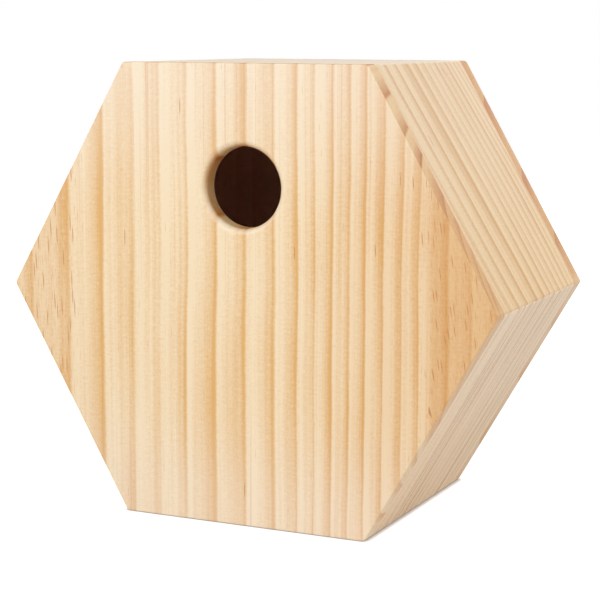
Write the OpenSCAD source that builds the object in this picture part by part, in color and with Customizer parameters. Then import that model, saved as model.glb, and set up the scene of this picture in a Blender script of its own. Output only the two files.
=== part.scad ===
// Hexagonal nest box of planed pine. Six mitred boards form a ring that stands
// on its floor board. A front board with a round entrance is dowelled and glued
// over one end of the ring, and a back board is screwed over the other, so that
// it comes off for cleaning. +Z is up and the front faces -Y.

/* [Box] */
// Height of the hexagon from flat to flat
across_flats = 200; // [170:1:260]
// Radius of the hexagon's six outer corners
corner_r = 2; // [1:0.5:8]
// Thickness of the front board
front_t = 8.5; // [7:0.5:15]
// Thickness of the back board
back_t = 8.5; // [6:0.5:15]
// Thickness of the six side boards
board_t = 9; // [7:0.5:15]
// Width of the six side boards, which is the depth of the ring
board_w = 101; // [85:1:160]

/* [Entrance] */
// Diameter of the entrance hole
entrance_d = 35; // [25:0.5:45]
// Distance from the top of the box down to the middle of the hole
entrance_drop = 52.5; // [45:0.5:80]
// Radius of the cutter that rounds the hole's outer rim
rim_r = 6; // [6:0.5:10]
// Depth of the rounding below the face, where less than the radius leaves a fine edge round it
rim_depth = 5; // [2:0.5:6]

/* [Front dowels] */
// Diameter of the dowels between the front board and the ring
dowel_d = 4; // [3:0.5:5]
// Depth of a dowel in the front board
dowel_in_front = 5; // [3:0.5:6]
// Depth of a dowel in a side board
dowel_in_board = 12; // [8:1:20]
// Space left for glue behind a dowel
dowel_end_gap = 0.8; // [0:0.1:2]
// Gap all round a dowel
dowel_gap = 0.05; // [0.02:0.01:0.1]

/* [Back screws] */
// Diameter of the screws' shanks
screw_d = 3; // [2.5:0.1:4]
// Length of the screws, with the head
screw_len = 25; // [20:1:40]
// Diameter of the countersunk heads
screw_head_d = 6; // [5:0.1:7]
// Depth of the heads below the back board's face
screw_sink = 0.3; // [0:0.1:1]
// Length of the screws' points
screw_point = 4; // [2:0.5:6]
// Gap round a shank and its head in the back board
screw_hole_gap = 0.1; // [0.05:0.05:0.3]
// Gap round a shank in a side board
pilot_gap = 0.08; // [0.05:0.01:0.1]
// Length of a pilot hole past the screw's point
pilot_end_gap = 1; // [0.5:0.5:3]

/* [Hanging keyhole] */
// Diameter of the hole that a wall screw's head goes through
key_head_d = 10; // [8:0.5:14]
// Width of the slot that hangs on the wall screw's shank
key_slot_w = 5; // [4:0.5:6.5]
// Rise of the slot's round end above the hole
key_rise = 12; // [10:0.5:20]
// Distance from the top of the box down to the slot's round end
key_drop = 28; // [22:1:60]

/* [Drainage] */
// Diameter of the drain holes in the floor board
drain_d = 6; // [4:0.5:10]
// Distance between the drain holes from left to right
drain_pitch_x = 60; // [30:1:70]
// Distance between the drain holes from front to back
drain_pitch_y = 50; // [30:1:55]

/* [Hidden] */

$fn = 64;
// How far a cutter reaches past the face that it opens
cut = 1;
pine = [0.91, 0.76, 0.56];
beech = [0.80, 0.62, 0.42];
zinc_steel = [0.74, 0.75, 0.76];

// Outward directions of the six side boards, as angles seen from the front
roof_angle = 90;
upper_right_angle = 30;
lower_right_angle = -30;
floor_angle = -90;
lower_left_angle = -150;
upper_left_angle = 150;
board_angles = [
    roof_angle, upper_right_angle, lower_right_angle, floor_angle, lower_left_angle, upper_left_angle
];

// The hexagon and the ring inside it
half_h = across_flats / 2;
hex_r = half_h / cos(30);
inner_hex_r = (half_h - board_t) / cos(30);

// The stack from front to back
depth = front_t + board_w + back_t;
front_y = -depth / 2;
ring_front_y = front_y + front_t;
ring_back_y = ring_front_y + board_w;
back_y = depth / 2;

// Fixings lie in the middle of each side board's thickness
fixing_r = half_h - board_t / 2;
screw_head_y = back_y - screw_sink;
screw_head_h = (screw_head_d - screw_d) / 2;

function corner(i) = hex_r * [cos(60 * i), sin(60 * i)];
function toward(from, to) = (to - from) / norm(to - from);

// Places a profile drawn as seen from the front, extruded from one depth to another
module upright(from_y, to_y) {
    translate([0, to_y, half_h])
        rotate([90, 0, 0])
            linear_extrude(to_y - from_y)
                children();
}

// Places a turned shape at a board's fixing point, with its axis towards the back
module at_fixing(angle, y) {
    translate([fixing_r * cos(angle), y, half_h + fixing_r * sin(angle)])
        rotate([-90, 0, 0])
            children();
}

// Outline of the box from the front: a hexagon with round corners
module outline() {
    tangent = corner_r * tan(30);
    polygon([
        for (i = [0:5])
            for (side = [-1, 1])
                corner(i) + tangent * toward(corner(i), corner(i + side))
    ]);
    for (i = [0:5])
        rotate(60 * i)
            translate([hex_r - corner_r / cos(30), 0])
                circle(corner_r);
}

// One sixth of the ring, cut at the two mitres
module board_end(angle) {
    reach = 2 * hex_r;
    intersection() {
        difference() {
            outline();
            circle(inner_hex_r, $fn = 6);
        }
        polygon([
            [0, 0],
            reach * [cos(angle - 30), sin(angle - 30)],
            reach * [cos(angle + 30), sin(angle + 30)]
        ]);
    }
}

// A side board with its dowel hole at the front and its pilot hole at the back
module side_board(angle) {
    pilot_depth = screw_len + screw_sink - back_t + pilot_end_gap;
    difference() {
        upright(ring_front_y, ring_back_y)
            board_end(angle);
        at_fixing(angle, ring_front_y - cut)
            cylinder(h = dowel_in_board + dowel_end_gap + cut, d = dowel_d + 2 * dowel_gap);
        at_fixing(angle, ring_back_y - pilot_depth)
            cylinder(h = pilot_depth + cut, d = screw_d + 2 * pilot_gap);
    }
}

// Cutter for the entrance: a bore with its outer rim rounded over
module entrance() {
    bore_r = entrance_d / 2;
    translate([0, front_y, across_flats - entrance_drop])
        rotate([-90, 0, 0])
            rotate_extrude() {
                square([bore_r, front_t + cut]);
                difference() {
                    square([bore_r + rim_r, rim_depth]);
                    translate([bore_r + rim_r, rim_depth])
                        circle(rim_r);
                }
            }
}

// Cutter for the keyhole: a hole for the wall screw's head and a slot above it
module keyhole() {
    slot_z = half_h - key_drop;
    upright(ring_back_y - cut, back_y + cut) {
        translate([0, slot_z - key_rise])
            circle(d = key_head_d);
        translate([-key_slot_w / 2, slot_z - key_rise])
            square([key_slot_w, key_rise]);
        translate([0, slot_z])
            circle(d = key_slot_w);
    }
}

// A countersunk screw that points forward, or its hole when a gap is given
module screw(angle, gap = 0, over = 0) {
    at_fixing(angle, screw_head_y)
        rotate([180, 0, 0])
            rotate_extrude()
                polygon([
                    [0, -over],
                    [screw_head_d / 2 + gap, -over],
                    [screw_head_d / 2 + gap, 0],
                    [screw_d / 2 + gap, screw_head_h],
                    [screw_d / 2 + gap, screw_len - screw_point],
                    [0, screw_len]
                ]);
}

module front_panel() {
    color(pine)
        difference() {
            upright(front_y, ring_front_y)
                outline();
            entrance();
            for (angle = board_angles)
                at_fixing(angle, ring_front_y - dowel_in_front)
                    cylinder(h = dowel_in_front + cut, d = dowel_d + 2 * dowel_gap);
        }
}

module roof_board() {
    color(pine)
        side_board(roof_angle);
}

module upper_right_board() {
    color(pine)
        side_board(upper_right_angle);
}

module lower_right_board() {
    color(pine)
        side_board(lower_right_angle);
}

module floor_board() {
    color(pine)
        difference() {
            side_board(floor_angle);
            for (x = [-1, 1] * drain_pitch_x / 2)
                for (y = [-1, 1] * drain_pitch_y / 2)
                    translate([x, (ring_front_y + ring_back_y) / 2 + y, -cut])
                        cylinder(h = board_t + 2 * cut, d = drain_d);
        }
}

module lower_left_board() {
    color(pine)
        side_board(lower_left_angle);
}

module upper_left_board() {
    color(pine)
        side_board(upper_left_angle);
}

module front_dowels() {
    color(beech)
        for (angle = board_angles)
            at_fixing(angle, ring_front_y - dowel_in_front)
                cylinder(h = dowel_in_front + dowel_in_board, d = dowel_d);
}

module back_panel() {
    color(pine)
        difference() {
            upright(ring_back_y, back_y)
                outline();
            keyhole();
            for (angle = board_angles)
                screw(angle, screw_hole_gap, screw_sink + cut);
        }
}

module back_screws() {
    color(zinc_steel)
        for (angle = board_angles)
            screw(angle);
}

front_panel();
roof_board();
upper_right_board();
lower_right_board();
floor_board();
lower_left_board();
upper_left_board();
front_dowels();
back_panel();
back_screws();
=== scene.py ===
import math

import bmesh
import bpy
from mathutils import Matrix, Vector


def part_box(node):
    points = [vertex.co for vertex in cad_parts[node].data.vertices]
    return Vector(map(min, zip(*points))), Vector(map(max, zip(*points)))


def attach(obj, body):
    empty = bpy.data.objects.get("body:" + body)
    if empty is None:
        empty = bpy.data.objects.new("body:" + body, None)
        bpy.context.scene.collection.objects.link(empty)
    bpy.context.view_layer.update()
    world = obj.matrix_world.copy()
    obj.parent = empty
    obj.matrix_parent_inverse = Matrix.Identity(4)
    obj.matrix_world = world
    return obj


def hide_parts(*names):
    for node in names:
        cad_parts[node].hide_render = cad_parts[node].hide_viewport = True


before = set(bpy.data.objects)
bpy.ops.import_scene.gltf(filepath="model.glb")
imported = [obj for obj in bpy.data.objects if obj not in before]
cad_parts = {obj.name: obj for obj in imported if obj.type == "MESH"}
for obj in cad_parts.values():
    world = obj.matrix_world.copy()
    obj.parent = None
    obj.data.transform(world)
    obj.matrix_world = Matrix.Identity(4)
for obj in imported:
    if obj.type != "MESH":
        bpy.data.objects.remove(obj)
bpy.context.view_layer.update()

# Side boards
# Six planed pine boards make the ring between front and back, with the grain along each side
# of the hexagon. Their ends are mitred and glued, and the outer corners are sanded round.
MM = 0.001
front_low, front_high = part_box("front_panel")
roof_low, roof_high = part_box("roof_board")
ring_front, ring_back = roof_low.y, roof_high.y
board_thickness = roof_high.z - roof_low.z
axis_height = (front_low.z + front_high.z) / 2
half_height = (front_high.z - front_low.z) / 2
hexagon_side = half_height / math.cos(math.radians(30))
corner_radius = (hexagon_side - front_high.x) / (1 / math.cos(math.radians(30)) - 1)
corner_tangent = corner_radius * math.tan(math.radians(30))
fixing_radius = half_height - board_thickness / 2

SIDE_BOARDS = {
    "roof_board": 90,
    "upper_right_board": 30,
    "lower_right_board": -30,
    "floor_board": -90,
    "lower_left_board": -150,
    "upper_left_board": 150,
}
CORNER_STEPS = 5
TOUCHING = 0.001 * MM
JOINT_EASING = 0.12 * MM
DOWEL_HOLE_RADIUS = 2.05 * MM
DOWEL_HOLE_DEPTH = 12.8 * MM
PILOT_HOLE_RADIUS = 1.58 * MM
PILOT_HOLE_DEPTH = 17.8 * MM
DRILL_POINT_SHARE = 0.06
DRAIN_RADIUS = 3 * MM
DRAIN_PLACES = [Vector((x, y, 0)) * MM for x in (-30, 30) for y in (-25, 25)]


def sharp_edges(bm, least=40):
    """Edges where two faces meet at more than that many degrees."""
    return [e for e in bm.edges if e.is_manifold and e.calc_face_angle() > math.radians(least)]


def ease(bm, edges, width, segments=1):
    bmesh.ops.bevel(
        bm, geom=edges, offset=width, offset_type="OFFSET", affect="EDGES",
        segments=segments, profile=0.5, material=-1, clamp_overlap=True,
    )


def flat_face(bm, direction):
    """The largest flat face that looks that way."""
    direction = Vector(direction)
    looking = [f for f in bm.faces if f.normal.dot(direction) > 0.999]
    return max(looking, key=lambda f: f.calc_area())


def open_face(bm, face, loops):
    """Cuts loops of edges out of a flat face, which is filled again all round them."""
    edges = list(face.edges) + [e for loop in loops for e in loop]
    normal = face.normal.copy()
    bmesh.ops.delete(bm, geom=[face], context="FACES_ONLY")
    bmesh.ops.triangle_fill(bm, edges=edges, normal=normal, use_beauty=True)


def verts_in(geom):
    """The verts among what an operator made."""
    return [g for g in geom if isinstance(g, bmesh.types.BMVert)]


def ends_of(edges):
    """The verts of some edges, each of them once."""
    return list(dict.fromkeys(v for e in edges for v in e.verts))


def ring_of(verts):
    """Edges that join verts of a loop to each other."""
    inside = set(verts)
    return list(dict.fromkeys(e for v in verts for e in v.link_edges if e.other_vert(v) in inside))


def round_loop(bm, centre, radius, towards, segments=24):
    """A circle of edges round a point, square to a direction."""
    turn = Vector(towards).to_track_quat("Z", "Y").to_matrix().to_4x4()
    made = bmesh.ops.create_circle(
        bm, segments=segments, radius=radius, matrix=Matrix.Translation(centre) @ turn
    )
    return ring_of(made["verts"])


def extrude_loop(bm, loop, move):
    """Walls from a loop to a moved copy of it, which is returned."""
    verts = verts_in(bmesh.ops.extrude_edge_only(bm, edges=loop)["geom"])
    bmesh.ops.translate(bm, verts=verts, vec=move)
    return ring_of(verts)


def blind_hole(bm, loop, depth):
    """A drilled hole from a loop, with the cone that the drill's point leaves."""
    floor = extrude_loop(bm, loop, depth)
    tip = bmesh.ops.contextual_create(bm, geom=floor)["faces"]
    bmesh.ops.poke(bm, faces=tip, offset=depth.length * DRILL_POINT_SHARE)


def hang_piece(bm, name, body, slot, material, *nodes):
    """Makes the finished mesh a piece that rides on a body and stands for CAD nodes."""
    bmesh.ops.recalc_face_normals(bm, faces=bm.faces)
    mesh = bpy.data.meshes.new(name)
    bm.to_mesh(mesh)
    bm.free()
    for polygon in mesh.polygons:
        polygon.use_smooth = True
    mesh.set_sharp_from_angle(angle=math.radians(28))
    piece = bpy.data.objects.new(name, mesh)
    bpy.context.scene.collection.objects.link(piece)
    mesh.materials.append(material)
    weighted = piece.modifiers.new("Flat faces stay flat", "WEIGHTED_NORMAL")
    weighted.keep_sharp = True
    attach(piece, body)
    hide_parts(*nodes)


def side_board_mesh(angle, drains=()):
    """A board modelled as the roof board, with its holes, and then turned to its side."""
    bm = bmesh.new()
    flat_half = hexagon_side / 2 - corner_tangent
    inner_half = (half_height - board_thickness) * math.tan(math.radians(30))
    outer, inner = [], []
    for side in (-1, 1):
        outer.append(bm.verts.new((side * flat_half, ring_front, half_height)))
        inner.append(bm.verts.new((side * inner_half, ring_front, half_height - board_thickness)))
        arc = bmesh.ops.spin(
            bm, geom=[outer[-1]], cent=(side * flat_half, ring_front, half_height - corner_radius),
            axis=(0, 1, 0), angle=side * math.radians(30), steps=CORNER_STEPS,
        )
        mitre = verts_in(arc["geom_last"])[0]
        bm.edges.new((mitre, inner[-1]))
    bm.edges.new(outer)
    bm.edges.new(inner)
    end = bmesh.ops.contextual_create(bm, geom=bm.edges[:])["faces"]
    far = verts_in(bmesh.ops.extrude_face_region(bm, geom=end)["geom"])
    bmesh.ops.translate(bm, verts=far, vec=(0, ring_back - ring_front, 0))
    bmesh.ops.recalc_face_normals(bm, faces=bm.faces)
    ease(bm, sharp_edges(bm), JOINT_EASING)

    for y, radius, depth, towards in (
        (ring_front, DOWEL_HOLE_RADIUS, DOWEL_HOLE_DEPTH, -1),
        (ring_back, PILOT_HOLE_RADIUS, PILOT_HOLE_DEPTH, 1),
    ):
        out = Vector((0, towards, 0))
        loop = round_loop(bm, Vector((0, y, fixing_radius)), radius, out)
        open_face(bm, flat_face(bm, out), [loop])
        blind_hole(bm, loop, -depth * out)
    if drains:
        up = Vector((0, 0, 1))
        mouths = [round_loop(bm, place + half_height * up, DRAIN_RADIUS, up) for place in drains]
        open_face(bm, flat_face(bm, up), mouths)
        inner_ends = [extrude_loop(bm, loop, -board_thickness * up) for loop in mouths]
        open_face(bm, flat_face(bm, -up), inner_ends)

    turn = Matrix.Rotation(math.radians(90 - angle), 3, "Y")
    bmesh.ops.rotate(bm, verts=bm.verts, cent=(0, 0, 0), matrix=turn)
    bmesh.ops.translate(bm, verts=bm.verts, vec=(0, 0, axis_height))
    return bm


def add(tree, kind, inputs=(), **settings):
    """A shader node with its settings, and its inputs as plain values or as sockets to link."""
    made = tree.nodes.new(kind)
    for name, value in settings.items():
        setattr(made, name, value)
    for key, value in dict(inputs).items():
        if isinstance(value, bpy.types.NodeSocket):
            tree.links.new(value, made.inputs[key])
        else:
            made.inputs[key].default_value = value
    return made


def calc(tree, operation, *values):
    """The result of one Math node."""
    return add(tree, "ShaderNodeMath", enumerate(values), operation=operation).outputs[0]


def fade(tree, value, start, end, low=0.0, high=1.0):
    """A value mapped smoothly from one range to another."""
    inputs = {"Value": value, "From Min": start, "From Max": end, "To Min": low, "To Max": high}
    return add(
        tree, "ShaderNodeMapRange", inputs, interpolation_type="SMOOTHSTEP"
    ).outputs["Result"]


def stretched_noise(tree, vector, across, through, along, detail=2.0):
    """Noise whose grains have those sizes in millimetres on the board."""
    sized = add(
        tree, "ShaderNodeVectorMath", {0: vector, 1: (1 / across, 1 / through, 1 / along)},
        operation="MULTIPLY",
    )
    noise = add(
        tree, "ShaderNodeTexNoise", {"Vector": sized.outputs[0], "Scale": 1.0, "Detail": detail}
    )
    return noise.outputs["Fac"]


def mix(tree, factor, a, b, blend="MIX"):
    """Two colours mixed."""
    made = tree.nodes.new("ShaderNodeMix")
    made.data_type = "RGBA"
    made.blend_type = blend
    for key, value in (("Factor_Float", factor), ("A_Color", a), ("B_Color", b)):
        socket = next(s for s in made.inputs if s.identifier == key)
        if isinstance(value, bpy.types.NodeSocket):
            tree.links.new(value, socket)
        else:
            socket.default_value = value
    return next(s for s in made.outputs if s.identifier == "Result_Color")


def zone_mask(tree, value, zones):
    """The strongest of some zones, each given as where it starts, where it is full and how strong."""
    mask = 0.0
    for start, full, strength in zones:
        mask = calc(tree, "MAXIMUM", fade(tree, value, start, full, 0.0, strength), mask)
    return mask


SLOW_FULL = 0.98
SLOW_DARKENING = 0.8
DENSE_START = 0.74
DENSE_FULL = 0.95
DENSE_DARKENING = 0.4
SWELL_LEAST = 0.4
SWELL_RANGE = 1.2
NOISE_MIDDLE = 0.48
THREAD_START = 0.68
THREAD_FULL = 0.8
THREAD_STRENGTH = 0.2
DASH_EDGE = 0.21
DASH_CORE = 0.08
SAWN_COVER = 0.75
PLANED_ROUGHNESS = 0.47
FIBRE_ROUGHNESS = 0.14
SAWN_ROUGHNESS = 0.25
TOOTH_HEIGHT = 3.0
FIBRE_HEIGHT = 0.35


def pine_figure():
    """Group that turns a place on a board, in millimetres, and its year ring into pine."""
    tree = bpy.data.node_groups.new("Pine figure", "ShaderNodeTree")
    for name, kind in (
        ("Board", "NodeSocketVector"), ("Canals", "NodeSocketVector"),
        ("Ring", "NodeSocketFloat"), ("Ring Depth", "NodeSocketFloat"),
        ("Late Start", "NodeSocketFloat"), ("Late End", "NodeSocketFloat"), ("Streak", "NodeSocketFloat"),
        ("Pale", "NodeSocketColor"), ("Dark", "NodeSocketColor"),
        ("Heartwood And Shade", "NodeSocketFloat"), ("Paler", "NodeSocketFloat"), ("Resin", "NodeSocketFloat"),
        ("End Grain And Shade", "NodeSocketFloat"), ("End Grain And Shade Tint", "NodeSocketColor"),
        ("End Bands", "NodeSocketFloat"), ("Rough Sawn", "NodeSocketFloat"), ("Sawn", "NodeSocketColor"),
    ):
        tree.interface.new_socket(name, in_out="INPUT", socket_type=kind)
    for name, kind in (
        ("Color", "NodeSocketColor"), ("Roughness", "NodeSocketFloat"), ("Height", "NodeSocketFloat"),
    ):
        tree.interface.new_socket(name, in_out="OUTPUT", socket_type=kind)
    given = tree.nodes.new("NodeGroupInput").outputs
    board, ring = given["Board"], given["Ring"]
    y, z = add(tree, "ShaderNodeSeparateXYZ", {"Vector": board}).outputs[1:]

    # A ring darkens slowly from early to late wood and ends sharply where the next year starts
    share = calc(tree, "FRACT", ring)
    slow = fade(tree, share, given["Late Start"], SLOW_FULL, 0.0, SLOW_DARKENING)
    dense = fade(tree, share, DENSE_START, DENSE_FULL, 0.0, DENSE_DARKENING)
    late = calc(tree, "ADD", slow, dense)
    late = calc(tree, "MULTIPLY", late, fade(tree, share, 1.0, given["Late End"]))
    in_ring = add(tree, "ShaderNodeCombineXYZ", {"X": ring, "Y": y, "Z": z}).outputs[0]
    swell = stretched_noise(tree, in_ring, 1.3, 60, 75, 1.0)
    swell = calc(tree, "MULTIPLY_ADD", swell, SWELL_RANGE, SWELL_LEAST)
    late = calc(tree, "MULTIPLY", late, swell)
    late = calc(tree, "MULTIPLY", late, given["Ring Depth"])
    bands = stretched_noise(tree, in_ring, 0.24, 40, 300, 1.0)
    lines = stretched_noise(tree, in_ring, 0.07, 20, 160, 1.0)
    fibres = stretched_noise(tree, board, 0.45, 0.45, 45, 3.0)
    ripple = stretched_noise(tree, board, 3.5, 3.5, 1.0, 1.0)
    specks = stretched_noise(tree, board, 0.9, 0.9, 1.5, 2.0)
    cloud = stretched_noise(tree, board, 26, 26, 80, 1.0)
    tone = late
    for streak, strength in (
        (bands, calc(tree, "MULTIPLY", given["Streak"], 0.6)),
        (lines, calc(tree, "MULTIPLY", given["Streak"], 0.2)),
        (fibres, 0.3), (ripple, 0.45), (specks, 0.6), (cloud, 0.6),
    ):
        tone = calc(tree, "MULTIPLY_ADD", calc(tree, "SUBTRACT", streak, NOISE_MIDDLE), strength, tone)
    color = mix(tree, tone, given["Pale"], given["Dark"])
    # Painted shade and light: the heartwood tint also darkens hollows as shade, and the pale lift is
    # painted light, apart from two side boards' paleness towards their upper ends.
    color = mix(tree, given["Heartwood And Shade"], color, HEARTWOOD_AND_SHADE_TINT, "MULTIPLY")
    color = mix(tree, given["Paler"], color, PALER_LIFT, "SCREEN")

    # Resin canals that the plane has cut open show as short dashes, and as a few long thin lines
    threads = stretched_noise(tree, board, 0.8, 0.8, 220, 0.0)
    threads = fade(tree, threads, THREAD_START, THREAD_FULL, 0.0, THREAD_STRENGTH)
    for spacing, likelihood, strength in ((1.0, 1.0, 0.9), (0.6, 2.5, 0.35)):
        canals = add(
            tree, "ShaderNodeTexVoronoi", {"Vector": given["Canals"], "Scale": 1 / spacing},
            voronoi_dimensions="2D",
        )
        chance = add(tree, "ShaderNodeSeparateColor", {"Color": canals.outputs["Color"]}).outputs[0]
        is_open = calc(tree, "LESS_THAN", chance, calc(tree, "MULTIPLY", given["Resin"], likelihood))
        dashes = fade(tree, canals.outputs["Distance"], DASH_EDGE, DASH_CORE, 0.0, strength)
        threads = calc(tree, "MAXIMUM", threads, calc(tree, "MULTIPLY", dashes, is_open))
    color = mix(tree, threads, color, RESIN)

    # End grain drinks in light, most of all its late wood, and the same tints paint shade into hollows. A
    # sawn face keeps its tooth marks, and its darker colour is partly painted shade inside the box.
    color = mix(tree, given["End Grain And Shade"], color, given["End Grain And Shade Tint"], "MULTIPLY")
    bands_seen = calc(tree, "MULTIPLY", given["End Grain And Shade"], given["End Bands"])
    bands_seen = calc(tree, "MULTIPLY", bands_seen, late)
    color = mix(tree, bands_seen, color, END_LATE_AND_SHADE_TINT, "MULTIPLY")
    color = mix(tree, calc(tree, "MULTIPLY", given["Rough Sawn"], SAWN_COVER), color, given["Sawn"])
    teeth = calc(tree, "MULTIPLY", stretched_noise(tree, board, 70, 70, 1.1), given["Rough Sawn"])
    rough = calc(tree, "MULTIPLY_ADD", fibres, FIBRE_ROUGHNESS, PLANED_ROUGHNESS)
    rough = calc(tree, "MULTIPLY_ADD", given["Rough Sawn"], SAWN_ROUGHNESS, rough)
    height = calc(tree, "MULTIPLY", fibres, FIBRE_HEIGHT)
    height = calc(tree, "MULTIPLY_ADD", teeth, TOOTH_HEIGHT, height)
    add(tree, "NodeGroupOutput", {"Color": color, "Roughness": rough, "Height": height})
    return tree


PALE_PINE = (0.92, 0.74, 0.50, 1)
DARK_PINE = (0.77, 0.45, 0.165, 1)
# The heartwood and end grain tints also paint shade into hollows, and the pale lift paints light.
HEARTWOOD_AND_SHADE_TINT = (0.86, 0.69, 0.51, 1)
# Colour of the pale lift, which mostly paints light: highlights, floor light and grazing sheen.
PALER_LIFT = (0.28, 0.24, 0.24, 1)
RESIN = (0.58, 0.24, 0.07, 1)
END_GRAIN_AND_SHADE_TINT = (0.89, 0.77, 0.57, 1)
END_LATE_AND_SHADE_TINT = (0.70, 0.42, 0.18, 1)
# The sawn colour is partly rough-sawn wood and partly painted shade inside the box.
SAWN_PINE_IN_SHADE = (0.90, 0.62, 0.36, 1)
PINE_FIGURE = pine_figure()


def curve_over(tree, value, places, heights):
    """A value looked up on a line through the given places, with heights from 0 to 1."""
    span = places[-1] - places[0]
    unit = calc(tree, "DIVIDE", calc(tree, "SUBTRACT", value, places[0]), span)
    made = add(tree, "ShaderNodeFloatCurve", {"Value": unit})
    points = made.mapping.curves[0].points
    points[0].location = (0, heights[0])
    points[-1].location = (1, heights[-1])
    for place, height in list(zip(places, heights))[1:-1]:
        points.new((place - places[0]) / span, height)
    for point in points:
        point.handle_type = "VECTOR"
    made.mapping.update()
    return made.outputs[0]


CUP_POWER = 6.0
CANAL_WIDTH = 1.4
CANAL_SPAN = 80
LONG_CANAL = 26
SHORT_CANAL = 18
SAWN_START = 0.5
SAWN_FULL = 0.2
GRAIN_STRENGTH = 0.25
GRAIN_RELIEF = 0.1 * MM
# Where a mask starts and where it is full, by the cosine of a surface's turn from the board's face
FLAT = (0.9, 0.99)
ROUNDED = (0.98, 0.85)
HOLLOWED = (0.95, 0.3)
CUT_EDGE = (0.6, 0.1)
NO_CUT_EDGE = (0.1, 0.4)
# The same by the cosine of its turn from the upward grain
LOOKING_UP = (0.1, 0.35)
LOOKING_DOWN = (0.3, -0.2)
# Strengths of the painted shade in hollows, the painted highlight on upward roundings and the painted
# floor light on low edges
HOLLOW_SHADE_DEPTH = 0.8
SANDED_HIGHLIGHT = 0.7
LOW_EDGE_FLOOR_LIGHT = 0.5


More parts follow.
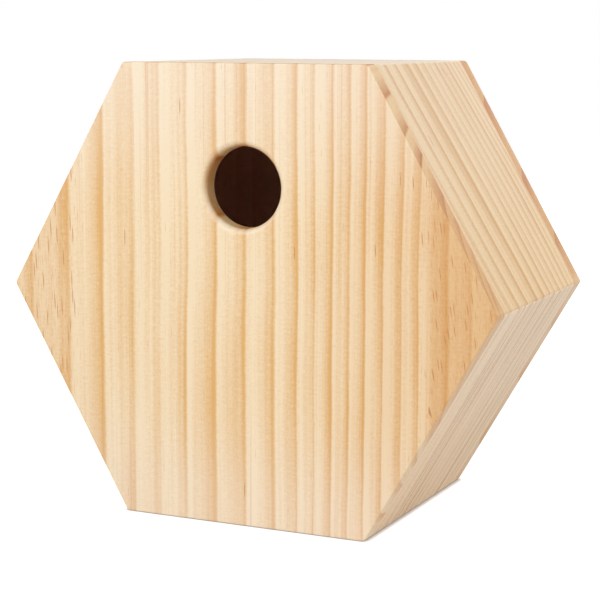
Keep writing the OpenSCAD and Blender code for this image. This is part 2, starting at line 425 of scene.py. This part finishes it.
def pine(name, axes, origin, thickness, rings, lean=0.0, cup=0.0, skew=0.0, bow=0.0, fan=0.0,
         wander=1.0, late_start=0.2, late_end=0.95, streak=1.0, heart=(), paler_zones=(), resin=0.008,
         resin_zones=(), slant=0.0, end_grain=(), end_grain_and_shade_tint=END_GRAIN_AND_SHADE_TINT, end_bands=1.0,
         pale=PALE_PINE, dark=DARK_PINE, sawn_in_shade=SAWN_PINE_IN_SHADE):
    """Pine for one board. Axes are its directions across the grain, inward and along the grain.
    Rings are pairs of a place across the board, in millimetres from its origin, where a year ends, and
    that ring's depth of colour. Heart and resin zones lie across the board, and paler zones and end grain
    zones along it. Paler zones are painted light on the front and roof, and the end grain zones also set
    where shade and floor light are painted."""
    material = bpy.data.materials.new(name)
    material.use_nodes = True
    tree = material.node_tree
    shader = tree.nodes["Principled BSDF"]
    place = add(tree, "ShaderNodeTexCoord")
    to_board = Matrix([Vector(a) for a in axes])
    mapping = add(tree, "ShaderNodeMapping", {
        "Vector": place.outputs["Object"],
        "Location": -(to_board @ Vector(origin)) / MM,
        "Rotation": to_board.to_euler(),
        "Scale": (1 / MM,) * 3,
    })
    board = mapping.outputs["Vector"]
    x, y, z = add(tree, "ShaderNodeSeparateXYZ", {"Vector": board}).outputs

    # Ring lines lean through the board, run askew or bowed along it, and wander a little
    outlying = calc(tree, "POWER", calc(tree, "ABSOLUTE", x), CUP_POWER)
    leaning = calc(tree, "MULTIPLY_ADD", outlying, cup, lean)
    bowing = calc(tree, "MULTIPLY_ADD", x, fan, bow)
    across = calc(tree, "MULTIPLY_ADD", y, leaning, x)
    across = calc(tree, "MULTIPLY_ADD", z, skew, across)
    across = calc(tree, "MULTIPLY_ADD", calc(tree, "MULTIPLY", z, z), bowing, across)
    for size, length, reach in ((60, 110, 5.0), (50, 34, 1.8)):
        drift = calc(tree, "SUBTRACT", stretched_noise(tree, board, size, size, length, 1.0), 0.5)
        across = calc(tree, "MULTIPLY_ADD", drift, reach * wander, across)
    edges = [edge for edge, depth in rings]
    count = len(rings) - 1
    ring = curve_over(tree, across, edges, [i / count for i in range(count + 1)])
    depth = curve_over(tree, across, edges, [depth for edge, depth in rings])

    heartwood = zone_mask(tree, across, heart)
    tilted = calc(tree, "MULTIPLY_ADD", calc(tree, "MULTIPLY", z, heartwood), slant, x)
    canal_length = fade(tree, x, -CANAL_SPAN, CANAL_SPAN, LONG_CANAL, SHORT_CANAL)
    canals = add(tree, "ShaderNodeCombineXYZ", {
        "X": calc(tree, "DIVIDE", tilted, CANAL_WIDTH), "Y": calc(tree, "DIVIDE", z, canal_length),
    })

    # Cut edges show darker end grain; painted shade in the bored rim's hollow, painted light on roundings
    # and low edges
    facing, rising = (
        add(
            tree, "ShaderNodeVectorMath", {0: place.outputs["Normal"], 1: axis}, operation="DOT_PRODUCT"
        ).outputs["Value"]
        for axis in axes[1:]
    )
    facing = calc(tree, "ABSOLUTE", facing)
    end_zone = zone_mask(tree, z, end_grain)
    # Painted shade: the downward-facing hollow of the rim gets the heartwood and end grain tints.
    hollow_shade = fade(tree, facing, *HOLLOWED, 0.0, HOLLOW_SHADE_DEPTH)
    hollow_shade = calc(tree, "MULTIPLY", hollow_shade, fade(tree, rising, *LOOKING_DOWN))
    hollow_shade = calc(tree, "MULTIPLY", hollow_shade, end_zone)
    edge = fade(tree, facing, *CUT_EDGE)
    end_grain_and_shade = calc(tree, "MAXIMUM", calc(tree, "MULTIPLY", edge, end_zone), hollow_shade)
    # Painted light: cut edges outside the end zones are lifted paler, as light from the floor would.
    low_edge_floor_light = calc(tree, "MULTIPLY", edge, fade(tree, end_zone, 1.0, 0.0, 0.0, LOW_EDGE_FLOOR_LIGHT))
    # Painted highlight: sanded roundings that face upward are lifted paler, as light from above would.
    sanded_highlight = calc(tree, "MULTIPLY", fade(tree, facing, *ROUNDED), fade(tree, facing, *NO_CUT_EDGE))
    sanded_highlight = calc(tree, "MULTIPLY", sanded_highlight, fade(tree, rising, *LOOKING_UP, 0.0, SANDED_HIGHLIGHT))
    painted_lift = calc(tree, "MAXIMUM", sanded_highlight, low_edge_floor_light)
    resin = calc(tree, "MAXIMUM", zone_mask(tree, across, resin_zones), resin)
    figure = add(tree, "ShaderNodeGroup", node_tree=PINE_FIGURE)
    for key, value in {
        "Board": board,
        "Canals": canals.outputs[0],
        "Ring": calc(tree, "MULTIPLY", ring, count),
        "Ring Depth": depth,
        "Late Start": late_start,
        "Late End": late_end,
        "Streak": streak,
        "Pale": pale,
        "Dark": dark,
        "Heartwood And Shade": calc(tree, "MAXIMUM", heartwood, hollow_shade),
        "Paler": calc(tree, "MAXIMUM", painted_lift, zone_mask(tree, z, paler_zones)),
        "Resin": calc(tree, "MULTIPLY", resin, fade(tree, facing, *FLAT)),
        "End Grain And Shade": end_grain_and_shade,
        "End Grain And Shade Tint": end_grain_and_shade_tint,
        "End Bands": end_bands,
        "Rough Sawn": fade(tree, y, thickness - SAWN_START, thickness - SAWN_FULL),
        "Sawn": sawn_in_shade,
    }.items():
        if isinstance(value, bpy.types.NodeSocket):
            tree.links.new(value, figure.inputs[key])
        else:
            figure.inputs[key].default_value = value
    grain = add(tree, "ShaderNodeBump", {
        "Height": figure.outputs["Height"], "Strength": GRAIN_STRENGTH, "Distance": GRAIN_RELIEF,
    })
    tree.links.new(figure.outputs["Color"], shader.inputs["Base Color"])
    tree.links.new(figure.outputs["Roughness"], shader.inputs["Roughness"])
    tree.links.new(grain.outputs["Normal"], shader.inputs["Normal"])
    return material


UNEVEN_WIDTH = 0.22
UNEVEN_DEPTH = 0.35


def year_rings(first, last, wide, narrow, rhythm, depth=0.6):
    """Rings that narrow from first to last, a little unevenly, as pairs of place and depth."""
    rings = [(first, depth)]
    while rings[-1][0] < last:
        share = (rings[-1][0] - first) / (last - first)
        swing = math.sin(rhythm * len(rings))
        step = (wide + (narrow - wide) * share) * (1 + UNEVEN_WIDTH * swing)
        rings.append((rings[-1][0] + step, depth * (1 + UNEVEN_DEPTH * swing)))
    return rings


UPPER_RIGHT_RINGS = (
    (-8, 0.6), (2, 0.6), (13, 0.5), (24, 0.8), (35.5, 1.0), (50, 1.2), (60.5, 0.9), (69.5, 0.7),
    (76.5, 0.5), (84, 0.9), (91.5, 0.6), (98.5, 1.0), (104, 0.6), (109.5, 0.9), (115, 0.7), (121, 0.7),
    (130, 0.7),
)
LOWER_RIGHT_RINGS = (
    (-10, 0.3), (0, 0.3), (8, 0.2), (15, 0.3), (24.5, 0.2), (33, 0.8), (37, 0.9), (47, 0.4), (54, 0.3),
    (61.5, 0.6), (65, 0.7), (70, 0.4), (78.5, 0.6), (88.5, 0.3), (97, 0.4), (104, 0.3), (112, 0.4),
    (120, 0.4), (130, 0.4),
)
WHOLE_BOARD = (-200, -199)
UPPER_HALF = (-6, 6)
SIDE_BOARD_LEAN = 0.6
BOARD_FIGURES = {
    # Roof: its paler, greyer colours and lift are painted sheen, the white room reflected at a grazing
    # angle.
    "roof_board": {
        "rings": year_rings(-20, 150, 11, 7, 1.9), "skew": 0.03, "paler_zones": ((*WHOLE_BOARD, 0.5),),
        "pale": (0.87, 0.755, 0.59, 1), "dark": (0.74, 0.51, 0.275, 1),
    },
    # The two right boards are paler towards their upper ends.
    "upper_right_board": {
        "rings": UPPER_RIGHT_RINGS, "skew": 0.085, "bow": -0.00038, "fan": 0.0000152,
        "wander": 0.5, "late_start": 0.2, "late_end": 0.85, "streak": 1.8, "paler_zones": ((-60, 60, 0.4),),
        "pale": (0.835, 0.615, 0.35, 1), "dark": (0.645, 0.34, 0.098, 1),
    },
    "lower_right_board": {
        "rings": LOWER_RIGHT_RINGS, "wander": 0.6, "late_start": 0.2, "late_end": 0.8,
        "streak": 3.0, "paler_zones": ((-50, 60, 0.3),),
        "pale": (0.97, 0.76, 0.53, 1), "dark": (0.58, 0.335, 0.165, 1),
    },
    "floor_board": {"rings": year_rings(-20, 150, 9, 12, 2.3)},
    "lower_left_board": {"rings": year_rings(-20, 150, 7, 10, 1.3), "skew": -0.02},
    "upper_left_board": {"rings": year_rings(-20, 150, 13, 6, 2.7), "skew": -0.05},
}

backward = Vector((0, 1, 0))
for node_name, angle in SIDE_BOARDS.items():
    outward = Vector((math.cos(math.radians(angle)), 0, math.sin(math.radians(angle))))
    wood = pine(
        "pine " + node_name.replace("_", " "), (backward, -outward, outward.cross(backward)),
        Vector((0, front_low.y, axis_height)) + half_height * outward, board_thickness / MM,
        lean=SIDE_BOARD_LEAN, **BOARD_FIGURES[node_name],
    )
    drains = DRAIN_PLACES if node_name == "floor_board" else ()
    hang_piece(
        side_board_mesh(angle, drains), "pine_" + node_name, "shell", "pine", wood, node_name
    )

# Front dowels
# Six plain beech dowels, one in each side board, hold the front. They are glued into blind
# holes on both sides, so none of them shows once the box is together.
BEECH_PALE = (0.66, 0.42, 0.22, 1)
BEECH_DARK = (0.46, 0.25, 0.11, 1)
BEECH_ROUGHNESS = 0.5
BEECH_FIBRE_ROUGHNESS = 0.2
beech = bpy.data.materials.new("beech dowel rod")
beech.use_nodes = True
rod = beech.node_tree
rod_place = add(rod, "ShaderNodeTexCoord").outputs["Object"]
rod_fibres = stretched_noise(rod, rod_place, 0.0004, 0.009, 0.0004)
rod_color = mix(rod, fade(rod, rod_fibres, 0.35, 0.65), BEECH_PALE, BEECH_DARK)
rod_rough = calc(rod, "MULTIPLY_ADD", rod_fibres, BEECH_FIBRE_ROUGHNESS, BEECH_ROUGHNESS)
rod_shader = rod.nodes["Principled BSDF"]
rod.links.new(rod_color, rod_shader.inputs["Base Color"])
rod.links.new(rod_rough, rod_shader.inputs["Roughness"])
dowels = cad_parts["front_dowels"]
dowels.data.materials.clear()
dowels.data.materials.append(beech)

# Front board
# One hexagon of planed pine with upright grain, glued over the ring. The entrance is bored
# through it, and its outer rim is rounded over with a router and sanded.
FRONT_EASING = 0.6 * MM
ENTRANCE_RADIUS = 17.5 * MM
ENTRANCE_HEIGHT = front_high.z - 52.5 * MM
RIM_WIDTH = 2.9 * MM
RIM_DEPTH = 3.6 * MM
RIM_SWEEP = math.radians(82)
RIM_STEPS = 14
ENTRANCE_STEPS = 128
DOWEL_IN_FRONT = 5 * MM


def hexagon_board(outer_y, inner_y):
    """A hexagonal board with round corners, its outer face eased along all six edges."""
    bm = bmesh.new()
    upright = Matrix.Rotation(math.radians(90), 4, "X") @ Matrix.Rotation(math.radians(30), 4, "Z")
    bmesh.ops.create_circle(
        bm, cap_ends=True, segments=6, radius=hexagon_side,
        matrix=Matrix.Translation((0, outer_y, axis_height)) @ upright,
    )
    inner = verts_in(bmesh.ops.extrude_face_region(bm, geom=bm.faces[:])["geom"])
    bmesh.ops.translate(bm, verts=inner, vec=(0, inner_y - outer_y, 0))
    bmesh.ops.recalc_face_normals(bm, faces=bm.faces)
    corners = [e for e in bm.edges if abs(e.verts[0].co.y - e.verts[1].co.y) > MM]
    ease(bm, corners, corner_tangent, 2 * CORNER_STEPS)
    outer_edges = [e for e in sharp_edges(bm) if abs(e.verts[0].co.y - outer_y) < TOUCHING]
    ease(bm, outer_edges, FRONT_EASING, 2)
    inner_edges = [e for e in sharp_edges(bm) if abs(e.verts[0].co.y - inner_y) < TOUCHING]
    ease(bm, inner_edges, JOINT_EASING)
    return bm


def fixing_places(y):
    """The middle of each side board's thickness, at that depth."""
    for angle in SIDE_BOARDS.values():
        turn = math.radians(angle)
        yield Vector((fixing_radius * math.cos(turn), y, axis_height + fixing_radius * math.sin(turn)))


front = hexagon_board(front_low.y, front_high.y)
forward = -backward
rightward = Vector((1, 0, 0))
rim_start = front.verts.new((ENTRANCE_RADIUS, front_low.y + RIM_DEPTH, ENTRANCE_HEIGHT))
rim_radius = RIM_DEPTH / math.sin(RIM_SWEEP)
bmesh.ops.spin(
    front, geom=[rim_start], cent=rim_start.co + rim_radius * rightward, axis=(0, 0, 1),
    angle=RIM_SWEEP, steps=RIM_STEPS,
)
rim_squeeze = RIM_WIDTH / (rim_radius * (1 - math.cos(RIM_SWEEP)))
bmesh.ops.scale(
    front, verts=[v for v in front.verts if not v.link_faces], vec=(rim_squeeze, 1, 1),
    space=Matrix.Translation(-rim_start.co),
)
bore_end = front.verts.new((ENTRANCE_RADIUS, front_high.y, ENTRANCE_HEIGHT))
front.edges.new((rim_start, bore_end))
profile = [e for e in front.edges if not e.link_faces]
bmesh.ops.spin(
    front, geom=profile + ends_of(profile), cent=(0, 0, ENTRANCE_HEIGHT), axis=(0, 1, 0),
    angle=math.radians(360), steps=ENTRANCE_STEPS, use_merge=True,
)
bore_ends = [e for e in front.edges if e.is_boundary]
mouth = [e for e in bore_ends if abs(e.verts[0].co.y - front_low.y) < TOUCHING]
bore_back = [e for e in bore_ends if abs(e.verts[0].co.y - front_high.y) < TOUCHING]
open_face(front, flat_face(front, forward), [mouth])
dowel_mouths = [
    round_loop(front, place, DOWEL_HOLE_RADIUS, backward) for place in fixing_places(front_high.y)
]
open_face(front, flat_face(front, backward), [bore_back, *dowel_mouths])
for loop in dowel_mouths:
    bmesh.ops.contextual_create(front, geom=extrude_loop(front, loop, DOWEL_IN_FRONT * forward))

FRONT_RINGS = (
    (-135, 0.7), (-120, 0.6), (-105, 0.6), (-85, 0.8), (-67.5, 0.9), (-52, 0.6), (-39, 0.5),
    (-25.5, 0.6), (-11, 0.9), (3, 0.9), (16.5, 0.8), (27, 0.8), (35, 0.6), (43, 0.8), (51, 0.6),
    (58, 0.9), (66, 0.9), (74.5, 0.7), (82, 0.9), (95.5, 0.45), (105, 0.45), (116, 0.4), (130, 0.4),
)
FRONT_DARK = (0.76, 0.435, 0.152, 1)
front_pine = pine(
    "pine front board", ((1, 0, 0), (0, 1, 0), (0, 0, 1)), (0, front_low.y, axis_height),
    (front_high.y - front_low.y) / MM, FRONT_RINGS, lean=0.02, cup=1.5e-12,
    wander=0.6, late_end=0.87, streak=1.7, dark=FRONT_DARK,
    heart=((10, 78, 0.4), (79, 90, 1.0), (-75, -100, 0.3)),
    # Painted light: the front is paler towards its top and its bottom.
    paler_zones=((25, 105, 0.8), (-40, -100, 0.75)),
    resin_zones=((80, 90, 0.45), (-78, -90, 0.5)), slant=0.15,
    # End grain darkens the upper cut edges in full and the lower ones only slightly, where painted floor
    # light lifts them instead.
    end_grain=((*WHOLE_BOARD, 0.08), (*UPPER_HALF, 1.0)),
)
hang_piece(front, "pine_front", "shell", "pine", front_pine, "front_panel")

# Back board
# A second hexagon of the same pine, screwed to the ring so that it comes off for cleaning.
# It has a countersunk hole over each side board and a keyhole near the top to hang it by.
back_low, back_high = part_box("back_panel")
SCREW_HOLE_RADIUS = 1.6 * MM
COUNTERSINK_RADIUS = 3.1 * MM
COUNTERSINK_DEPTH = 1.8 * MM
KEY_HOLE_RADIUS = 5 * MM
KEY_SLOT_HALF = 2.5 * MM
KEY_SLOT_TOP = back_high.z - 28 * MM
KEY_RISE = 12 * MM
KEY_STEPS = 20
KEY_EASING = 0.5 * MM


def keyhole_loop(bm, y, wider=0.0):
    """Outline of the keyhole: a large round hole with a slot that ends in a small round."""
    hole_radius = KEY_HOLE_RADIUS + wider
    slot_half = KEY_SLOT_HALF + wider
    low_centre = Vector((0, y, KEY_SLOT_TOP - KEY_RISE))
    slot_start = math.sqrt(hole_radius**2 - slot_half**2)
    opening = math.asin(slot_half / hole_radius)
    start = bm.verts.new(low_centre + Vector((slot_half, 0, slot_start)))
    low = bmesh.ops.spin(
        bm, geom=[start], cent=low_centre, axis=(0, 1, 0), angle=2 * (math.pi - opening),
        steps=KEY_STEPS,
    )
    low_end = verts_in(low["geom_last"])[0]
    top = bm.verts.new((-slot_half, y, KEY_SLOT_TOP))
    bm.edges.new((low_end, top))
    round_top = bmesh.ops.spin(
        bm, geom=[top], cent=(0, y, KEY_SLOT_TOP), axis=(0, 1, 0), angle=math.pi,
        steps=KEY_STEPS // 2,
    )
    top_end = verts_in(round_top["geom_last"])[0]
    bm.edges.new((top_end, start))
    return [e for e in bm.edges if not e.link_faces]


back = hexagon_board(back_high.y, back_low.y)
key_outer = keyhole_loop(back, back_high.y, KEY_EASING)
sinks = [
    round_loop(back, place, COUNTERSINK_RADIUS, backward) for place in fixing_places(back_high.y)
]
open_face(back, flat_face(back, backward), [key_outer, *sinks])
key_wall = keyhole_loop(back, back_high.y - KEY_EASING)
bmesh.ops.bridge_loops(back, edges=key_outer + key_wall)
key_inner = extrude_loop(back, key_wall, (back_high.y - KEY_EASING - back_low.y) * forward)
screw_ends = []
for loop, place in zip(sinks, fixing_places(back_high.y)):
    seat = extrude_loop(back, loop, COUNTERSINK_DEPTH * forward)
    bmesh.ops.scale(
        back, verts=ends_of(seat), vec=(SCREW_HOLE_RADIUS / COUNTERSINK_RADIUS,) * 3,
        space=Matrix.Translation(-(place + COUNTERSINK_DEPTH * forward)),
    )
    screw_ends.append(
        extrude_loop(back, seat, (back_high.y - back_low.y - COUNTERSINK_DEPTH) * forward)
    )
open_face(back, flat_face(back, forward), [key_inner, *screw_ends])
# The back's sawn inner colour is partly rough-sawn wood and partly painted shade, darker and redder
# inside the box.
BACK_SAWN_IN_SHADE = (0.95, 0.475, 0.38, 1)
BACK_END_GRAIN_AND_SHADE_TINT = (0.76, 0.56, 0.33, 1)
back_pine = pine(
    "pine back board", ((-1, 0, 0), (0, -1, 0), (0, 0, 1)), (0, back_high.y, axis_height),
    (back_high.y - back_low.y) / MM, year_rings(-135, 135, 17, 9, 2.1, 0.8), lean=0.4,
    heart=((50, 95, 0.5), (-40, -80, 0.35)), resin_zones=((60, 100, 0.25),),
    # End grain darkens the upper cut edges in full and the lower ones only slightly, where painted floor
    # light lifts them instead.
    end_grain=((*WHOLE_BOARD, 0.15), (*UPPER_HALF, 1.0)), end_grain_and_shade_tint=BACK_END_GRAIN_AND_SHADE_TINT, end_bands=0.2,
    sawn_in_shade=BACK_SAWN_IN_SHADE,
)
hang_piece(back, "pine_back", "back", "pine", back_pine, "back_panel")

# Back screws
# Six countersunk wood screws of zinc-plated steel, one into the edge of each side board.
# Each is cold-headed with a cross recess and has a rolled thread that tapers into its point.
SCREW_SINK = 0.3 * MM
SCREW_LENGTH = 25 * MM
HEAD_RADIUS = 3 * MM
HEAD_HEIGHT = 1.5 * MM
HEAD_RIM = 0.12 * MM
SHANK_RADIUS = 1.42 * MM
SHANK_END = 9.5 * MM
CORE_RADIUS = 1.05 * MM
CORE_START = 10 * MM
POINT_LENGTH = 4 * MM
THREAD_RADIUS = 1.5 * MM
THREAD_PITCH = 1.35 * MM
THREAD_HALF = 0.32 * MM
THREAD_SINK = 0.1 * MM
THREAD_RUNOUT = 0.4 * MM
RECESS_HALF_WIDTH = 0.42 * MM
RECESS_HALF_LENGTH = 1.5 * MM
RECESS_DEPTH = 1.2 * MM
RECESS_TAPER = 0.4
SCREW_STEPS = 32
SCREW_STOP = math.radians(37)


def screw_turning(bm, points):
    """A profile of radius and depth below the head, spun round the screw's axis."""
    verts = [bm.verts.new((radius, 0, -depth)) for radius, depth in points]
    edges = [bm.edges.new(pair) for pair in zip(verts, verts[1:])]
    bmesh.ops.spin(
        bm, geom=verts + edges, cent=(0, 0, 0), axis=(0, 0, 1), angle=math.radians(360),
        steps=SCREW_STEPS, use_merge=True,
    )


def cross_recess(bm):
    """The driver's recess, cut into the head's face and drawn in towards its floor."""
    corners = []
    for quarter in range(4):
        turn = Matrix.Rotation(math.radians(90 * quarter), 3, "Z")
        for x, y in (
            (RECESS_HALF_WIDTH, RECESS_HALF_WIDTH),
            (RECESS_HALF_WIDTH, RECESS_HALF_LENGTH),
            (-RECESS_HALF_WIDTH, RECESS_HALF_LENGTH),
        ):
            corners.append(bm.verts.new(turn @ Vector((x, y, 0))))
    cross = [bm.edges.new(pair) for pair in zip(corners, corners[1:] + corners[:1])]
    rim = [e for e in bm.edges if e.is_boundary and e.verts[0].co.z > -TOUCHING]
    bmesh.ops.triangle_fill(bm, edges=rim + cross, normal=(0, 0, 1), use_beauty=True)
    floor = extrude_loop(bm, cross, Vector((0, 0, -RECESS_DEPTH)))
    bmesh.ops.scale(bm, verts=ends_of(floor), vec=(RECESS_TAPER, RECESS_TAPER, 1))
    bmesh.ops.contextual_create(bm, geom=floor)


def rolled_thread(bm):
    """A ridge of three-cornered section, spun up as a helix and closed at both ends."""
    turns = (SCREW_LENGTH - CORE_START - THREAD_RUNOUT) / THREAD_PITCH
    steps = round(turns * SCREW_STEPS)
    root = CORE_RADIUS - THREAD_SINK
    section = [
        bm.verts.new((radius, 0, -depth))
        for radius, depth in (
            (root, CORE_START - THREAD_HALF),
            (THREAD_RADIUS, CORE_START),
            (root, CORE_START + THREAD_HALF),
        )
    ]
    first = bm.faces.new(section)
    bmesh.ops.spin(
        bm, geom=[first], cent=(0, 0, 0), axis=(0, 0, 1), steps=steps,
        angle=math.radians(360) * steps / SCREW_STEPS, dvec=(0, 0, -THREAD_PITCH / SCREW_STEPS),
    )


screws = bmesh.new()
rolled_thread(screws)
point_start = SCREW_LENGTH - POINT_LENGTH
for vert in screws.verts:
    left = max(0.0, (SCREW_LENGTH + vert.co.z) / POINT_LENGTH)
    if left < 1:
        vert.co.xy *= left
screw_turning(screws, (
    (HEAD_RADIUS, 0),
    (HEAD_RADIUS, HEAD_RIM),
    (SHANK_RADIUS, HEAD_HEIGHT + HEAD_RIM),
    (SHANK_RADIUS, SHANK_END),
    (CORE_RADIUS, CORE_START),
    (CORE_RADIUS, point_start),
    (0, SCREW_LENGTH),
))
bmesh.ops.remove_doubles(screws, verts=screws.verts, dist=TOUCHING)
cross_recess(screws)
bmesh.ops.recalc_face_normals(screws, faces=screws.faces)
bmesh.ops.rotate(
    screws, verts=screws.verts, cent=(0, 0, 0), matrix=Matrix.Rotation(math.radians(-90), 3, "X")
)
first_screw = screws.verts[:] + screws.edges[:] + screws.faces[:]
for count, place in enumerate(fixing_places(back_high.y - SCREW_SINK)):
    verts = verts_in(bmesh.ops.duplicate(screws, geom=first_screw)["geom"])
    stop = Matrix.Rotation(SCREW_STOP * count, 3, "Y")
    bmesh.ops.rotate(screws, verts=verts, cent=(0, 0, 0), matrix=stop)
    bmesh.ops.translate(screws, verts=verts, vec=place)
bmesh.ops.delete(screws, geom=verts_in(first_screw), context="VERTS")

ZINC_BRIGHT = (0.72, 0.73, 0.74, 1)
ZINC_DULL = (0.50, 0.51, 0.50, 1)
ZINC_ROUGHNESS = 0.2
ZINC_CLOUD_ROUGHNESS = 0.25
zinc = bpy.data.materials.new("bright zinc plate")
zinc.use_nodes = True
plate = zinc.node_tree
plate_place = add(plate, "ShaderNodeTexCoord").outputs["Object"]
plate_cloud = stretched_noise(plate, plate_place, 0.002, 0.002, 0.002)
plate_shader = plate.nodes["Principled BSDF"]
plate.links.new(mix(plate, plate_cloud, ZINC_BRIGHT, ZINC_DULL), plate_shader.inputs["Base Color"])
plate_rough = calc(plate, "MULTIPLY_ADD", plate_cloud, ZINC_CLOUD_ROUGHNESS, ZINC_ROUGHNESS)
plate.links.new(plate_rough, plate_shader.inputs["Roughness"])
plate_shader.inputs["Metallic"].default_value = 1.0
hang_piece(screws, "zinc_screws", "back", "zinc_steel", zinc, "back_screws")

# Floor and light
# A plain white floor under a white room. Camera rays see it as white, and it keeps the shadow of the box;
# near the box its glow fades by ambient occlusion, a painted contact shadow. A large soft lamp hangs over
# the left of the front, with weaker ones at the front right, on the right and behind.
FLOOR_DROP = 0.1 * MM
FLOOR_SIZE = 4.0
floor_bm = bmesh.new()
bmesh.ops.create_grid(
    floor_bm, x_segments=1, y_segments=1, size=FLOOR_SIZE, matrix=Matrix.Translation((0, 0, -FLOOR_DROP))
)
floor_mesh = bpy.data.meshes.new("studio_floor")
floor_bm.to_mesh(floor_mesh)
floor_bm.free()
floor = bpy.data.objects.new("studio_floor", floor_mesh)
bpy.context.scene.collection.objects.link(floor)
FLOOR_PAINT = (0.75, 0.75, 0.75, 1)
FLOOR_GLOW_SEEN = 0.7
FLOOR_GLOW_MIRRORED = 0.25
CONTACT_REACH = 2.2 * MM
CONTACT_DEPTH = 2.0
white_floor = bpy.data.materials.new("white floor")
white_floor.use_nodes = True
ground = white_floor.node_tree
ground.nodes.clear()
paint = add(ground, "ShaderNodeBsdfDiffuse", {"Color": FLOOR_PAINT})
rays = add(ground, "ShaderNodeLightPath")
mirrored = calc(ground, "MAXIMUM", rays.outputs["Is Glossy Ray"], rays.outputs["Is Transmission Ray"])
mirrored_glow = calc(ground, "MULTIPLY", mirrored, FLOOR_GLOW_MIRRORED)
# Painted contact shadow: the glow that camera rays see fades where the box is near.
contact = add(ground, "ShaderNodeAmbientOcclusion", {"Distance": CONTACT_REACH}).outputs["AO"]
seen_glow = calc(ground, "MULTIPLY", calc(ground, "POWER", contact, CONTACT_DEPTH), FLOOR_GLOW_SEEN)
floor_glow = calc(ground, "MULTIPLY_ADD", rays.outputs["Is Camera Ray"], seen_glow, mirrored_glow)
lift = add(ground, "ShaderNodeEmission", {"Strength": floor_glow})
both = add(ground, "ShaderNodeAddShader", {0: paint.outputs[0], 1: lift.outputs[0]})
add(ground, "ShaderNodeOutputMaterial", {"Surface": both.outputs[0]})
floor_mesh.materials.append(white_floor)

world = bpy.data.worlds.new("white room")
bpy.context.scene.world = world
world.use_nodes = True
room = world.node_tree
room.nodes.clear()
ROOM_LIGHT = 0.42
sight = add(room, "ShaderNodeLightPath")
seen = calc(room, "MAXIMUM", sight.outputs["Is Camera Ray"], sight.outputs["Is Glossy Ray"])
seen = calc(room, "MAXIMUM", seen, sight.outputs["Is Transmission Ray"])
strength = calc(room, "MULTIPLY_ADD", seen, 1.0 - ROOM_LIGHT, ROOM_LIGHT)
sky = add(room, "ShaderNodeBackground", {"Color": (1, 1, 1, 1), "Strength": strength})
add(room, "ShaderNodeOutputWorld", {"Surface": sky.outputs[0]})

for name, watts, width, height, place in (
    ("soft box over the left of the front", 9.0, 0.9, 0.7, Vector((-0.3, -1.1, 0.85))),
    ("weak soft box at the front right", 1.7, 0.5, 0.5, Vector((0.95, -0.95, 0.4))),
    ("soft box on the right", 4.4, 0.7, 0.7, Vector((1.0, 0.2, 0.85))),
    ("soft box behind", 3.4, 0.9, 0.7, Vector((0.15, 1.4, 0.5))),
):
    lamp_data = bpy.data.lights.new(name, "AREA")
    lamp_data.shape = "RECTANGLE"
    lamp_data.size, lamp_data.size_y = width, height
    lamp_data.energy = watts
    lamp = bpy.data.objects.new(name, lamp_data)
    bpy.context.scene.collection.objects.link(lamp)
    lamp.location = place
    lamp.rotation_euler = (Vector((0, 0, axis_height)) - place).to_track_quat("-Z", "Y").to_euler()

# Camera
# It stands to the right of the front, a little above the box, as the photograph was taken.
CAMERA_PLACE = (0.3366, -0.7212, 0.2130)
CAMERA_TURN = math.radians(25.011)
CAMERA_DOWN = math.radians(8.685)
CAMERA_ROLL = math.radians(0.181)
CAMERA_LENS = 105.3
camera_data = bpy.data.cameras.new("camera")
camera_data.lens = CAMERA_LENS
camera_data.sensor_width = 36
camera = bpy.data.objects.new("camera", camera_data)
bpy.context.scene.collection.objects.link(camera)
camera.matrix_world = (
    Matrix.Translation(CAMERA_PLACE)
    @ Matrix.Rotation(CAMERA_TURN, 4, "Z")
    @ Matrix.Rotation(math.radians(90) - CAMERA_DOWN, 4, "X")
    @ Matrix.Rotation(CAMERA_ROLL, 4, "Z")
)
bpy.context.scene.camera = camera
bpy.context.scene.view_settings.view_transform = "Standard"
